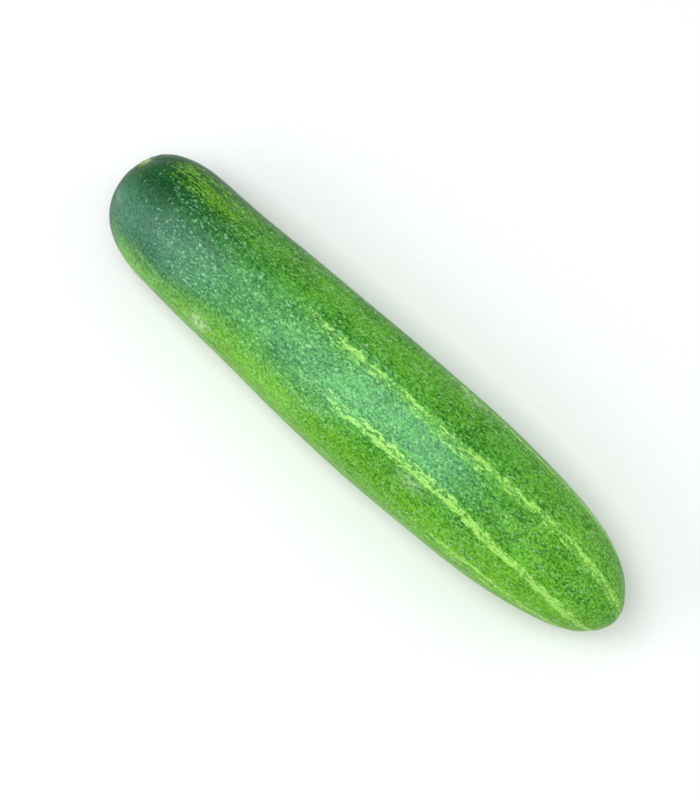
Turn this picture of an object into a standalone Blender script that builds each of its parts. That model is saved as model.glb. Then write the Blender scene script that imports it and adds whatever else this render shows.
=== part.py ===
"""A fresh slicing cucumber, picked and lying on its belly.

The fruit grew in one piece, so it is one solid. It lies along X, with its stem end towards -X and its
blossom end towards +X. +Z is up, and the origin is under the middle of it, on the surface that it lies on.
A place on the skin is given by its distance from the stem end and by its angle round the fruit, from +Y
over the top.
"""

import math
from bisect import bisect_left

import bmesh
import bpy
from mathutils import Vector

# Driving dimensions, in metres
LENGTH = 0.200
BELLY_RADIUS = 0.0223
NECK_RADIUS = 0.0190
SWELL_FROM, SWELL_TO = 0.004, 0.110
FLAT_DEPTH = 0.0008

# The blunt stem end is a dome of this length, and the blossom end tapers at this rate. For both, a
# fullness of 2 gives an elliptic tip, and more is blunter.
STEM_DOME_LENGTH, STEM_FULLNESS = 0.0257, 2.38
BLOSSOM_TAPER_LENGTH, BLOSSOM_FULLNESS = 0.0220, 1.80

# The core line bows sideways, and each end bends off it: by how much in Y and Z, and over what length
BOW = 0.0011
STEM_BEND = (Vector((0.0010, -0.0008)), 0.055)
BLOSSOM_BEND = (Vector((-0.0013, -0.0020)), 0.045)

# Where the stalk and the flower left the fruit: distance from that end and angle round the fruit
STEM_SCAR_IN, STEM_SCAR_ANGLE = 0.0028, math.radians(56)
BLOSSOM_SCAR_IN, BLOSSOM_SCAR_ANGLE = 0.0040, math.radians(-100)
STEM_VEER_LENGTH, BLOSSOM_VEER_LENGTH = 0.030, 0.050

# Eight soft ribs run from scar to scar, and the fruit is faintly three-sided
RIB_ANGLES = [math.radians(a) for a in (27, 73, 116, 156, 200, 243, 287, 335)]
RIB_HEIGHT = 0.00036
RIB_SHARPNESS = 1.2
RIB_HEIGHT_AT_STEM = 0.35
RIB_FULL_FROM = 0.070
RIB_FADES_WITHIN = 0.008
LOBES, LOBE_HEIGHT, LOBE_ANGLE = 3, 0.0002, math.radians(73)

# Uneven growth, as waves: height, wavelength along the fruit, waves round it, phase
GROWTH_WAVES = (
    (0.00014, 0.118, 2, 0.6),
    (0.00010, 0.067, -1, 2.1),
    (0.00006, 0.039, 3, 4.0),
)

# Scars, as rings of relief about their middle: height (a dent is negative), radius, width
STEM_SCAR_RINGS = ((-0.0010, 0.0, 0.0045), (0.0006, 0.0020, 0.0010), (-0.0002, 0.0, 0.0010))
BLOSSOM_SCAR_RINGS = ((-0.0005, 0.0, 0.0036), (0.0003, 0.0023, 0.0008), (0.0005, 0.0, 0.0011))

# The mesh: facets across each end's square patch (a quarter of those round the fruit), and rings between
ACROSS = 16
RINGS = 72
TIP_SPACING, BODY_SPACING = 0.0007, 0.0030
SPACING_GROWS_OVER = 0.030
WALK_STEPS = 4000

SKIN_COLOUR = (0.065, 0.235, 0.040, 1.0)
SKIN_ROUGHNESS = 0.42


def ease(x):
    """0 below 0, 1 above 1, and a smooth rise between."""
    x = min(max(x, 0.0), 1.0)
    return x * x * (3 - 2 * x)


def radius(along):
    """Radius of the fruit at this distance from the stem end, without its relief."""
    along = min(max(along, 0.0), LENGTH)
    swell = ease((along - SWELL_FROM) / (SWELL_TO - SWELL_FROM))
    body = NECK_RADIUS + (BELLY_RADIUS - NECK_RADIUS) * swell
    to_dome_edge = max(1 - along / STEM_DOME_LENGTH, 0.0)
    stem_end = (1 - to_dome_edge**STEM_FULLNESS) ** (1 / STEM_FULLNESS)
    blossom_end = (1 - math.exp((along - LENGTH) / BLOSSOM_TAPER_LENGTH)) ** (1 / BLOSSOM_FULLNESS)
    return body * stem_end * blossom_end


def core(along):
    """(y, z) of the middle of the fruit at this distance from the stem end."""
    middle = Vector((-BOW * math.sin(math.pi * along / LENGTH), 0.0))
    for depth, (bend, length) in ((along, STEM_BEND), (LENGTH - along, BLOSSOM_BEND)):
        middle += bend * max(1 - depth / length, 0.0) ** 2
    return middle


def veer(along):
    """How far the line of growth leaves the core, towards the scar at either end, as (y, z)."""
    total = Vector((0.0, 0.0))
    ends = (
        (along, STEM_SCAR_IN, STEM_SCAR_IN, STEM_SCAR_ANGLE, STEM_VEER_LENGTH),
        (LENGTH - along, BLOSSOM_SCAR_IN, LENGTH - BLOSSOM_SCAR_IN, BLOSSOM_SCAR_ANGLE, BLOSSOM_VEER_LENGTH),
    )
    for depth, scar_depth, scar_along, angle, length in ends:
        share = max((length - depth) / (length - scar_depth), 0.0) ** 3
        total += radius(scar_along) * share * Vector((math.cos(angle), math.sin(angle)))
    return total


def rib_relief(along, angle):
    """Height of the ribs, which follow the line of growth from scar to scar."""
    spoke = radius(along) * Vector((math.cos(angle), math.sin(angle))) - veer(along)
    bearing = math.atan2(spoke.y, spoke.x) % math.tau
    after = bisect_left(RIB_ANGLES, bearing) % len(RIB_ANGLES)
    last, following = RIB_ANGLES[after - 1], RIB_ANGLES[after]
    phase = ((bearing - last) % math.tau) / ((following - last) % math.tau)
    crest = (0.5 + 0.5 * math.cos(math.tau * phase)) ** RIB_SHARPNESS
    strength = RIB_HEIGHT_AT_STEM + (1 - RIB_HEIGHT_AT_STEM) * ease(along / RIB_FULL_FROM)
    return RIB_HEIGHT * strength * crest * ease(spoke.length / RIB_FADES_WITHIN)


def relief(along, angle):
    """How far the skin stands off the plain round form: ribs, lobes and uneven growth."""
    height = rib_relief(along, angle) + LOBE_HEIGHT * math.cos(LOBES * (angle - LOBE_ANGLE))
    for wave_height, length, turns, phase in GROWTH_WAVES:
        height += wave_height * math.sin(math.tau * along / length + turns * angle + phase)
    return height * radius(along) / BELLY_RADIUS


def skin_point(along, angle):
    """The point of the skin at this distance from the stem end and this angle round the fruit."""
    reach = radius(along) + relief(along, angle)
    middle = core(along)
    return Vector((along, middle.x + reach * math.cos(angle), middle.y + reach * math.sin(angle)))


def stations(count):
    """Distances from the stem end of this many + 1 rings, which lie closer together over both ends."""
    walk, weight = [0.0], [0.0]
    for step in range(1, WALK_STEPS + 1):
        along = LENGTH * (1 - math.cos(math.pi * step / WALK_STEPS)) / 2
        length = math.hypot(along - walk[-1], radius(along) - radius(walk[-1]))
        from_tip = min(along, LENGTH - along)
        spacing = TIP_SPACING + (BODY_SPACING - TIP_SPACING) * ease(from_tip / SPACING_GROWS_OVER)
        walk.append(along)
        weight.append(weight[-1] + length / spacing)
    places = [walk[bisect_left(weight, weight[-1] * ring / count)] for ring in range(count)]
    return places + [LENGTH]


def is_lengthwise(edge):
    """True for an edge of the box that runs along X."""
    return abs(edge.verts[0].co.x - edge.verts[1].co.x) > 1 / (2 * RINGS)


def grid_box():
    """A box from -1 to 1 in squares: ACROSS by ACROSS on each end, and RINGS along it."""
    box = bmesh.new()
    bmesh.ops.create_cube(box, size=2.0)
    for lengthwise, pieces in ((True, RINGS), (False, ACROSS)):
        edges = [e for e in box.edges if is_lengthwise(e) == lengthwise]
        bmesh.ops.subdivide_edges(box, edges=edges, cuts=pieces - 1, use_grid_fill=True)
    return box


def round_angle(y, z):
    """Angle round the fruit for a point of the square section, which spaces the facets evenly."""
    if y == 0 and z == 0:
        return 0.0
    if abs(y) >= abs(z):
        return math.pi / 4 * z / y + (math.pi if y < 0 else 0.0)
    return math.pi / 2 - math.pi / 4 * y / z + (math.pi if z < 0 else 0.0)


def wrap_skin(box):
    """Moves each point of the box to its place on the skin."""
    cap_rings = ACROSS // 2
    places = stations(RINGS + 2 * cap_rings)
    for vertex in box.verts:
        x, y, z = vertex.co
        inwards = round(cap_rings * (1 - max(abs(y), abs(z))))
        ring = cap_rings + round(RINGS * (x + 1) / 2) + (inwards if x > 0 else -inwards)
        vertex.co = skin_point(places[ring], round_angle(y, z))


def press_scar(box, along, angle, rings, outwards):
    """Presses the relief of one scar into the skin, along the direction that the scar faces."""
    middle = skin_point(along, angle)
    for vertex in box.verts:
        distance = (vertex.co - middle).length
        for height, ring_radius, width in rings:
            vertex.co += outwards * height * math.exp(-(((distance - ring_radius) / width) ** 2))


def facing(along, angle):
    """Unit vector that the skin faces at this place."""
    step = 1e-4
    lengthwise = skin_point(along + step, angle) - skin_point(along - step, angle)
    roundwise = skin_point(along, angle + step) - skin_point(along, angle - step)
    return roundwise.cross(lengthwise).normalized()


def settle(box):
    """Flattens the belly where it bears on the surface, and sets the origin under the fruit's middle."""
    floor = min(v.co.z for v in box.verts) + FLAT_DEPTH
    for vertex in box.verts:
        vertex.co.z = max(vertex.co.z, floor)
    low, high = (Vector([pick(v.co[axis] for v in box.verts) for axis in range(3)]) for pick in (min, max))
    bmesh.ops.translate(box, verts=box.verts, vec=(-(low.x + high.x) / 2, -(low.y + high.y) / 2, -floor))


def skin_material():
    """Green waxy skin."""
    material = bpy.data.materials.new("cucumber_skin")
    material.use_nodes = True
    shader = material.node_tree.nodes["Principled BSDF"]
    shader.inputs["Base Color"].default_value = SKIN_COLOUR
    shader.inputs["Roughness"].default_value = SKIN_ROUGHNESS
    return material


def make_cucumber():
    """The whole fruit, as one closed mesh."""
    box = grid_box()
    wrap_skin(box)
    stem_scar = (STEM_SCAR_IN, STEM_SCAR_ANGLE)
    blossom_scar = (LENGTH - BLOSSOM_SCAR_IN, BLOSSOM_SCAR_ANGLE)
    press_scar(box, *stem_scar, STEM_SCAR_RINGS, facing(*stem_scar))
    press_scar(box, *blossom_scar, BLOSSOM_SCAR_RINGS, facing(*blossom_scar))
    settle(box)
    bmesh.ops.recalc_face_normals(box, faces=box.faces)
    mesh = bpy.data.meshes.new("cucumber")
    box.to_mesh(mesh)
    box.free()
    mesh.shade_smooth()
    mesh.materials.append(skin_material())
    bpy.context.scene.collection.objects.link(bpy.data.objects.new("cucumber", mesh))


def main():
    """Clears the scene and builds the cucumber in it."""
    for old in list(bpy.data.objects):
        bpy.data.objects.remove(old)
    make_cucumber()


main()
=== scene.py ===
"""A fresh slicing cucumber lying on its belly, dressed for a plain studio picture.

The fruit lies along X, with its stem end towards -X and its blossom end towards +X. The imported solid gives
its size and place. This script replaces it with a fine skin of the same form, adds the two scars' own
pieces, and gives each a finish.

A place on the skin is given by its distance from the stem end and by its angle round the fruit, from +Y
over the top. Its bearing is its angle round the line of growth, which runs from scar to scar: ribs, stripes
and streaks all follow lines of one bearing.
"""

import logging
import math
from dataclasses import dataclass, field
from enum import Enum
from functools import reduce
from typing import NamedTuple

import bmesh
import bpy
import numpy as np
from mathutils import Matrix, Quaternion, Vector, noise
from mathutils.bvhtree import BVHTree


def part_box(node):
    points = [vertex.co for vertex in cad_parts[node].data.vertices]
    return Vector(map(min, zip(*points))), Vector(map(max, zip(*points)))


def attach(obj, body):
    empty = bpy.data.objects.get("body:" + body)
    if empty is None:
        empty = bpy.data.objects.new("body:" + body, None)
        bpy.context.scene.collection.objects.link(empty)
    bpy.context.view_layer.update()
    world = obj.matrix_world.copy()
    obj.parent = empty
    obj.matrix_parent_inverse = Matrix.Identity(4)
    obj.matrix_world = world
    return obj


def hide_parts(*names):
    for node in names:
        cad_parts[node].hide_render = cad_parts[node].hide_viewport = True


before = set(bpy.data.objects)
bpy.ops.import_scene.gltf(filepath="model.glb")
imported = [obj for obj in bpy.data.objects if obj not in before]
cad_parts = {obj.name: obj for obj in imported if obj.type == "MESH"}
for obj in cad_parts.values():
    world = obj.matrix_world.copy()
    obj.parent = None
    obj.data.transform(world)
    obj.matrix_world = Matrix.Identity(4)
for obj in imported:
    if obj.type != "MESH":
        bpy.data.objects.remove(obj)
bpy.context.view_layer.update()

logging.basicConfig(level=logging.INFO, format="%(message)s")
log = logging.getLogger("cucumber")

BODY = "root"
MM = 0.001

Socket = bpy.types.NodeSocket
Inputs = dict[int | str, object]
Outputs = bpy.types.bpy_prop_collection
Colour = tuple[float, float, float, float]
Triple = tuple[float, float, float]

# A span is two ends. A ramp is where it starts and ends, and what it gives at both if not 0 and 1.
# A pattern is the sizes of one shared effect, in its order.
Span = tuple[float, float]
Ramp = tuple[float, ...]
Pattern = tuple[float, ...]


def ease(x: np.ndarray) -> np.ndarray:
    """0 below 0, 1 above 1, and a smooth rise between."""
    x = np.clip(x, 0.0, 1.0)
    return x * x * (3 - 2 * x)


# The form of the fruit


@dataclass(frozen=True)
class Scar:
    """Where the stalk or the flower left the fruit, and its relief: each ring's height, radius and width."""

    from_stem: float
    angle: float
    rings: tuple[Triple, ...]
    veer_length: float


@dataclass(frozen=True)
class Stripe:
    """A pale stripe on the crest of one rib, and where along the fruit it comes up."""

    angle: float
    split: float
    starts: float
    full_from: float
    strength: float
    drift: float = 0.0


@dataclass(frozen=True)
class FruitForm:
    """The fruit's form as a formula: the same one, with the same sizes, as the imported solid's.

    An end's bend is how far it leaves the core in Y and Z, and over what length. A growth wave is its
    height, its wavelength along the fruit, its waves round it and its phase.
    """

    length: float = 0.200
    belly_radius: float = 0.0223
    neck_radius: float = 0.0190
    swell_from: float = 0.004
    swell_to: float = 0.110
    flat_depth: float = 0.0008
    stem_dome_length: float = 0.0257
    stem_fullness: float = 2.38
    blossom_taper_length: float = 0.0220
    blossom_fullness: float = 1.80
    bow: float = 0.0011
    stem_bend: Triple = (0.0010, -0.0008, 0.055)
    blossom_bend: Triple = (-0.0013, -0.0020, 0.045)
    rib_angles: tuple[float, ...] = tuple(math.radians(a) for a in (27, 73, 116, 156, 200, 243, 287, 335))
    rib_height: float = 0.00036
    rib_sharpness: float = 1.2
    rib_height_at_stem: float = 0.35
    rib_full_from: float = 0.070
    rib_fades_within: float = 0.008
    lobes: int = 3
    lobe_height: float = 0.0002
    lobe_angle: float = math.radians(73)
    growth_waves: tuple[tuple[float, float, int, float], ...] = (
        (0.00014, 0.118, 2, 0.6),
        (0.00010, 0.067, -1, 2.1),
        (0.00006, 0.039, 3, 4.0),
    )
    stem_scar: Scar = Scar(
        from_stem=0.0028,
        angle=math.radians(56),
        rings=((-0.0010, 0.0, 0.0045), (0.0006, 0.0020, 0.0010), (-0.0002, 0.0, 0.0010)),
        veer_length=0.030,
    )
    blossom_scar: Scar = Scar(
        from_stem=0.1960,
        angle=math.radians(-100),
        rings=((-0.0005, 0.0, 0.0036), (0.0003, 0.0023, 0.0008), (0.0005, 0.0, 0.0011)),
        veer_length=0.050,
    )
    stripes: tuple[Stripe, ...] = (
        Stripe(math.radians(27), 0.04, 0.095, 0.130, 0.80),
        Stripe(math.radians(77.5), 0.085, 0.052, 0.094, 0.87, drift=-1.0),
        Stripe(math.radians(118), -0.075, 0.066, 0.124, 1.28, drift=3.0),
        Stripe(math.radians(156), 0.12, 0.114, 0.150, 0.80),
        Stripe(math.radians(200), -0.12, 0.070, 0.120, 0.60),
        Stripe(math.radians(243), 0.11, 0.080, 0.110, 0.80),
        Stripe(math.radians(287), 0.10, 0.060, 0.100, 0.85),
        Stripe(math.radians(335), -0.12, 0.085, 0.120, 0.80),
    )

    def radius(self, along: np.ndarray) -> np.ndarray:
        """Radius of the fruit, without its relief.

        Args:
            along: Distances from the stem end.

        Returns:
            The radius at each.
        """
        along = np.clip(along, 0.0, self.length)
        swell = ease((along - self.swell_from) / (self.swell_to - self.swell_from))
        body = self.neck_radius + (self.belly_radius - self.neck_radius) * swell
        to_dome_edge = np.maximum(1 - along / self.stem_dome_length, 0.0)
        stem_end = (1 - to_dome_edge**self.stem_fullness) ** (1 / self.stem_fullness)
        taper = 1 - np.exp((along - self.length) / self.blossom_taper_length)
        return body * stem_end * taper ** (1 / self.blossom_fullness)

    def core(self, along: np.ndarray) -> tuple[np.ndarray, np.ndarray]:
        """Y and Z of the middle of the fruit.

        Args:
            along: Distances from the stem end.

        Returns:
            Y and Z at each.
        """
        y = -self.bow * np.sin(np.pi * along / self.length)
        z = np.zeros_like(along)
        for depth, (bend_y, bend_z, over) in (
            (along, self.stem_bend),
            (self.length - along, self.blossom_bend),
        ):
            share = np.maximum(1 - depth / over, 0.0) ** 2
            y = y + bend_y * share
            z = z + bend_z * share
        return y, z

    def growth(self, along: np.ndarray, angle: np.ndarray) -> tuple[np.ndarray, np.ndarray]:
        """Where points lie as seen from the line of growth.

        Args:
            along: Distances from the stem end.
            angle: Angles round the fruit.

        Returns:
            The bearing round the line of growth, and the distance from it.
        """
        y, z = self.radius(along) * np.cos(angle), self.radius(along) * np.sin(angle)
        for depth, scar in (
            (along, self.stem_scar),
            (self.length - along, self.blossom_scar),
        ):
            scar_depth = min(scar.from_stem, self.length - scar.from_stem)
            share = np.maximum((scar.veer_length - depth) / (scar.veer_length - scar_depth), 0.0) ** 3
            reach = self.radius(np.array(scar.from_stem))
            y = y - reach * share * math.cos(scar.angle)
            z = z - reach * share * math.sin(scar.angle)
        return np.arctan2(z, y) % math.tau, np.hypot(y, z)

    def rib_relief(self, along: np.ndarray, bearing: np.ndarray, spoke: np.ndarray) -> np.ndarray:
        """Height of the ribs.

        Args:
            along: Distances from the stem end.
            bearing: Bearings round the line of growth.
            spoke: Distances from the line of growth.

        Returns:
            The ribs' height at each point.
        """
        crests = np.array(self.rib_angles)
        after = np.searchsorted(crests, bearing) % len(crests)
        last, following = crests[after - 1], crests[after]
        phase = ((bearing - last) % math.tau) / ((following - last) % math.tau)
        crest = (0.5 + 0.5 * np.cos(math.tau * phase)) ** self.rib_sharpness
        strength = self.rib_height_at_stem + (1 - self.rib_height_at_stem) * ease(along / self.rib_full_from)
        return self.rib_height * strength * crest * ease(spoke / self.rib_fades_within)

    def skin(self, along: np.ndarray, angle: np.ndarray) -> np.ndarray:
        """Points of the skin, before its scars are pressed in.

        Args:
            along: Distances from the stem end.
            angle: Angles round the fruit.

        Returns:
            One row of X, Y and Z for each.
        """
        bearing, spoke = self.growth(along, angle)
        height = self.rib_relief(along, bearing, spoke)
        height = height + self.lobe_height * np.cos(self.lobes * (angle - self.lobe_angle))
        for wave_height, wavelength, turns, phase in self.growth_waves:
            height = height + wave_height * np.sin(math.tau * along / wavelength + turns * angle + phase)
        reach = self.radius(along) * (1 + height / self.belly_radius)
        y, z = self.core(along)
        return np.stack([along + 0 * angle, y + reach * np.cos(angle), z + reach * np.sin(angle)], axis=-1)

    def scar_place(self, scar: Scar) -> tuple[np.ndarray, np.ndarray]:
        """Where a scar is and which way it faces.

        Args:
            scar: The scar.

        Returns:
            Its middle on the skin, and the unit vector that the skin faces there.
        """
        step = 1e-4
        along = scar.from_stem + step * np.array([0, 1, -1, 0, 0])
        angle = scar.angle + step * np.array([0, 0, 0, 1, -1])
        middle, ahead, behind, over, under = self.skin(along, angle)
        outwards = np.cross(over - under, ahead - behind)
        return middle, outwards / np.linalg.norm(outwards)


# Node sheets, and the effects that the finishes share


class NodeSheet:
    """Adds and links the nodes of one node tree."""

    def __init__(self, tree: bpy.types.NodeTree) -> None:
        """Keeps the tree that the nodes go into."""
        self.tree = tree

    def plug(self, socket: Socket, value: object) -> None:
        """Links a socket to another, or sets its value.

        Args:
            socket: The input to feed.
            value: An output socket, or the plain value.
        """
        if isinstance(value, Socket):
            self.tree.links.new(value, socket)
        else:
            socket.default_value = value

    def node(self, kind: str, inputs: Inputs | None = None, **settings: object) -> bpy.types.Node:
        """Adds one node.

        Args:
            kind: The node's type, without its ShaderNode prefix.
            inputs: What feeds each input, by the input's name or number.
            settings: Properties of the node itself.

        Returns:
            The node.
        """
        made = self.tree.nodes.new("ShaderNode" + kind)
        for name, value in settings.items():
            setattr(made, name, value)
        for key, value in (inputs or {}).items():
            self.plug(made.inputs[key], value)
        return made

    def math(self, operation: str, a: object, b: object = 0.0, clamp: bool = False) -> Socket:
        """One step of arithmetic, which can be kept between 0 and 1."""
        return self.node("Math", {0: a, 1: b}, operation=operation, use_clamp=clamp).outputs[0]

    def product(self, *values: object) -> Socket:
        """The product of values, multiplied one after another."""
        return reduce(lambda before, value: self.math("MULTIPLY", before, value), values)

    def off(self, value: object, middle: object) -> Socket:
        """How far a value is from a middle one, either way."""
        return self.math("ABSOLUTE", self.math("SUBTRACT", value, middle))

    def fade(self, value: object, start: object, end: object, low: float = 0.0, high: float = 1.0) -> Socket:
        """A smooth change: low up to the start and high from the end on. The start can be the greater."""
        inputs = {"Value": value, "From Min": start, "From Max": end, "To Min": low, "To Max": high}
        return self.node("MapRange", inputs, interpolation_type="SMOOTHSTEP").outputs[0]

    def span(self, pattern: object, ends: Span) -> Socket:
        """Spreads a pattern of 0 to 1 over another span."""
        return self.fade(pattern, 0.0, 1.0, *ends)

    def mix(self, share: object, a: object, b: object, blend: str = "MIX") -> Socket:
        """The colour that a share of the second colour over the first one gives."""
        return self.node("Mix", {0: share, 6: a, 7: b}, data_type="RGBA", blend_type=blend).outputs[2]

    def vector(self, operation: str, *values: object) -> Socket:
        """One step of arithmetic on vectors."""
        return self.node("VectorMath", dict(enumerate(values)), operation=operation).outputs[0]

    def stretch(self, vector: object, scale: object) -> Socket:
        """A pattern's coordinates, scaled along each axis."""
        return self.vector("MULTIPLY", vector, scale)

    def shrink(self, vector: Socket, length: Socket, width: Socket) -> Socket:
        """Coordinates in which a pattern comes out this long and this wide, both ways across."""
        scale = [self.math("DIVIDE", 1.0, size) for size in (length, width, width)]
        return self.stretch(vector, self.node("CombineXYZ", dict(enumerate(scale))).outputs[0])

    def separate(self, vector: object) -> Outputs:
        """The X, Y and Z of a vector."""
        return self.node("SeparateXYZ", {0: vector}).outputs

    def noise(self, vector: object, scale: object, detail: float = 2.0, roughness: float = 0.5) -> Outputs:
        """The value and the colour of soft noise about its middle."""
        inputs = {"Vector": vector, "Scale": scale, "Detail": detail, "Roughness": roughness}
        return self.node("TexNoise", inputs).outputs


class Effect(Enum):
    """The shader effects that the finishes share."""

    MOTTLE = "mottle"
    SPECKLE = "speckle"
    STREAKS = "streaks"
    WARP = "warp"
    STRIPE = "stripe"


@dataclass
class Effects:
    """The shared effects, each built once as a node group. A noise is its detail and its roughness."""

    noise_middle: float = 0.5
    mottle_noise: Pattern = (3.0, 0.6)
    shake_scale: float = 1.3
    shake_reach: float = 0.8
    speck_present: Ramp = (-0.02, 0.12)
    speck_sizes: Span = (0.6, 1.2)
    speck_strengths: Span = (0.55, 1.0)
    speck_core: float = 0.30
    streak_noise: Pattern = (3.0, 0.65)
    streak_edge: float = 0.72
    edge_for_cover: float = 0.44
    streak_softness: float = 0.08
    stripes_drift: Ramp = (135.0, 165.0)
    groups: dict[Effect, bpy.types.NodeTree] = field(init=False)

    def __post_init__(self) -> None:
        """Builds all the groups."""
        builders = (self.mottle, self.speckle, self.streaks, self.warp, self.stripe)
        self.groups = {effect: build() for effect, build in zip(Effect, builders)}

    @staticmethod
    def start(
        effect: Effect, values: tuple[str, ...], output: str = "Float"
    ) -> tuple[NodeSheet, dict[str, Socket], Socket]:
        """Starts a group with a Vector input, some value inputs and one output.

        Args:
            effect: The effect that the group makes.
            values: The names of its value inputs.
            output: The kind of its output.

        Returns:
            Its sheet, its inputs by name, and the input of its output node.
        """
        tree = bpy.data.node_groups.new(effect.value, "ShaderNodeTree")
        tree.interface.new_socket("Vector", in_out="INPUT", socket_type="NodeSocketVector")
        for value in values:
            tree.interface.new_socket(value, in_out="INPUT", socket_type="NodeSocketFloat")
        tree.interface.new_socket("Result", in_out="OUTPUT", socket_type=f"NodeSocket{output}")
        inputs = {socket.name: socket for socket in tree.nodes.new("NodeGroupInput").outputs if socket.name}
        return NodeSheet(tree), inputs, tree.nodes.new("NodeGroupOutput").inputs[0]

    def mottle(self) -> bpy.types.NodeTree:
        """Uneven patches: noise of one size, drawn apart into dark and light.

        Returns:
            The group. Size is the patches' width and Contrast how sharply they part.
        """
        sheet, inputs, out = self.start(Effect.MOTTLE, ("Size", "Contrast"))
        scale = sheet.math("DIVIDE", 1.0, inputs["Size"])
        patches = sheet.noise(inputs["Vector"], scale, *self.mottle_noise)[0]
        spread = sheet.product(sheet.math("SUBTRACT", patches, self.noise_middle), inputs["Contrast"])
        sheet.plug(out, sheet.math("ADD", spread, self.noise_middle, clamp=True))
        return sheet.tree

    def speckle(self) -> bpy.types.NodeTree:
        """Scattered specks, each of its own size and strength.

        Returns:
            The group. Spacing is the distance from one place for a speck to the next, Size a speck's
            radius in spacings, and Density the share of places that have one.
        """
        sheet, inputs, out = self.start(Effect.SPECKLE, ("Spacing", "Size", "Density"))
        scale = sheet.math("DIVIDE", 1.0, inputs["Spacing"])
        shake = sheet.noise(inputs["Vector"], sheet.product(scale, self.shake_scale))[1]
        reach = sheet.product(inputs["Spacing"], self.shake_reach)
        moved = sheet.vector("MULTIPLY_ADD", shake, reach, inputs["Vector"])
        cells = sheet.node("TexVoronoi", {"Vector": moved, "Scale": scale}).outputs
        place, size, strength = sheet.node("SeparateColor", {0: cells["Color"]}).outputs
        present = sheet.fade(sheet.math("SUBTRACT", inputs["Density"], place), *self.speck_present)
        size = sheet.product(sheet.span(size, self.speck_sizes), inputs["Size"])
        speck = sheet.fade(cells["Distance"], size, sheet.product(size, self.speck_core))
        own = sheet.product(present, sheet.span(strength, self.speck_strengths))
        sheet.plug(out, sheet.product(speck, own))
        return sheet.tree

    def streaks(self) -> bpy.types.NodeTree:
        """Ragged streaks along the first axis of the coordinates.

        Returns:
            The group. Length and Width are a streak's own, and Cover is the share that streaks cover.
        """
        sheet, inputs, out = self.start(Effect.STREAKS, ("Length", "Width", "Cover"))
        place = sheet.shrink(inputs["Vector"], inputs["Length"], inputs["Width"])
        pattern = sheet.noise(place, 1.0, *self.streak_noise)[0]
        edge = sheet.math("SUBTRACT", self.streak_edge, sheet.product(inputs["Cover"], self.edge_for_cover))
        ends = (sheet.math(operation, edge, self.streak_softness) for operation in ("SUBTRACT", "ADD"))
        sheet.plug(out, sheet.fade(pattern, *ends))
        return sheet.tree

    def warp(self) -> bpy.types.NodeTree:
        """Coordinates that wander to and fro.

        Returns:
            The group. Length and Width are those of one wave, and Sway how far the place moves.
        """
        sheet, inputs, out = self.start(Effect.WARP, ("Length", "Width", "Sway"), output="Vector")
        place = sheet.shrink(inputs["Vector"], inputs["Length"], inputs["Width"])
        wave = sheet.noise(place, 1.0)[1]
        centred = sheet.vector("SUBTRACT", wave, (self.noise_middle,) * 3)
        sheet.plug(out, sheet.vector("MULTIPLY_ADD", centred, inputs["Sway"], inputs["Vector"]))
        return sheet.tree

    def stripe(self) -> bpy.types.NodeTree:
        """How near a place is to the middle of one stripe, which runs along one bearing.

        Returns:
            The group. Side and Up point from the middle of the fruit to the stripe, Scale is the true
            distance across for one unit of the coordinates, and Starts and Full say where the stripe
            comes up.
        """
        sheet, inputs, out = self.start(
            Effect.STRIPE, ("Side", "Up", "Drift", "Scale", "Width", "Starts", "Full", "Strength")
        )
        along, side, up = sheet.separate(inputs["Vector"])
        over, under = sheet.product(up, inputs["Side"]), sheet.product(side, inputs["Up"])
        turned = sheet.math("SUBTRACT", over, under)
        facing = sheet.math("ADD", sheet.product(side, inputs["Side"]), sheet.product(up, inputs["Up"]))
        drift = sheet.product(inputs["Drift"], sheet.fade(along, *self.stripes_drift))
        across = sheet.product(sheet.off(turned, drift), inputs["Scale"])
        near = sheet.product(
            sheet.fade(across, inputs["Width"], 0.0), sheet.math("GREATER_THAN", facing, 0.0)
        )
        risen = sheet.product(sheet.fade(along, inputs["Starts"], inputs["Full"]), inputs["Strength"])
        sheet.plug(out, sheet.product(near, risen))
        return sheet.tree


class FinishSheet(NodeSheet):
    """The sheet of one material, with its one Principled shader."""

    def __init__(self, name: str, effects: Effects) -> None:
        """Starts the material.

        Args:
            name: The material's name.
            effects: The shared effects.
        """
        self.material = bpy.data.materials.new(name)
        self.material.use_nodes = True
        super().__init__(self.material.node_tree)
        self.shader = self.tree.nodes["Principled BSDF"]
        self.effects = effects

    def effect(self, effect: Effect, vector: Socket, *values: object) -> Socket:
        """Places one shared effect.

        Args:
            effect: Which one.
            vector: Its coordinates.
            values: Its other inputs, in order.

        Returns:
            What it puts out.
        """
        made = self.tree.nodes.new("ShaderNodeGroup")
        made.node_tree = self.effects.groups[effect]
        for socket, value in zip(made.inputs, (vector, *values)):
            self.plug(socket, value)
        return made.outputs[0]

    def attribute(self, name: str, output: str = "Fac") -> Socket:
        """Reads one attribute of the mesh."""
        return self.node("Attribute", attribute_name=name).outputs[output]

    def millimetres(self, along_scale: float = 1.0) -> Socket:
        """The place in millimetres, with X scaled so that patterns lie longer along the fruit."""
        return self.stretch(self.node("TexCoord").outputs["Object"], (along_scale / MM, 1 / MM, 1 / MM))

    def finish(self, colour: Socket, roughness: object) -> None:
        """Feeds the shader's colour and roughness."""
        self.plug(self.shader.inputs["Base Color"], colour)
        self.plug(self.shader.inputs["Roughness"], roughness)

    def bump(self, strength: float, depth: float, height: Socket) -> None:
        """Feeds the shader's normal from a height, of which one unit stands for this depth of relief."""
        made = self.node("Bump", {"Strength": strength, "Distance": depth, "Height": height})
        self.plug(self.shader.inputs["Normal"], made.outputs[0])


# The skin's finish, layer by layer


class Measure(Enum):
    """A measure of where on the skin a point is."""

    ALONG = "millimetres from the stem end"
    SIDE = "cosine of the angle round the fruit"
    UP = "sine of the angle round the fruit"


ALONG, SIDE, UP = Measure


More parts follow.
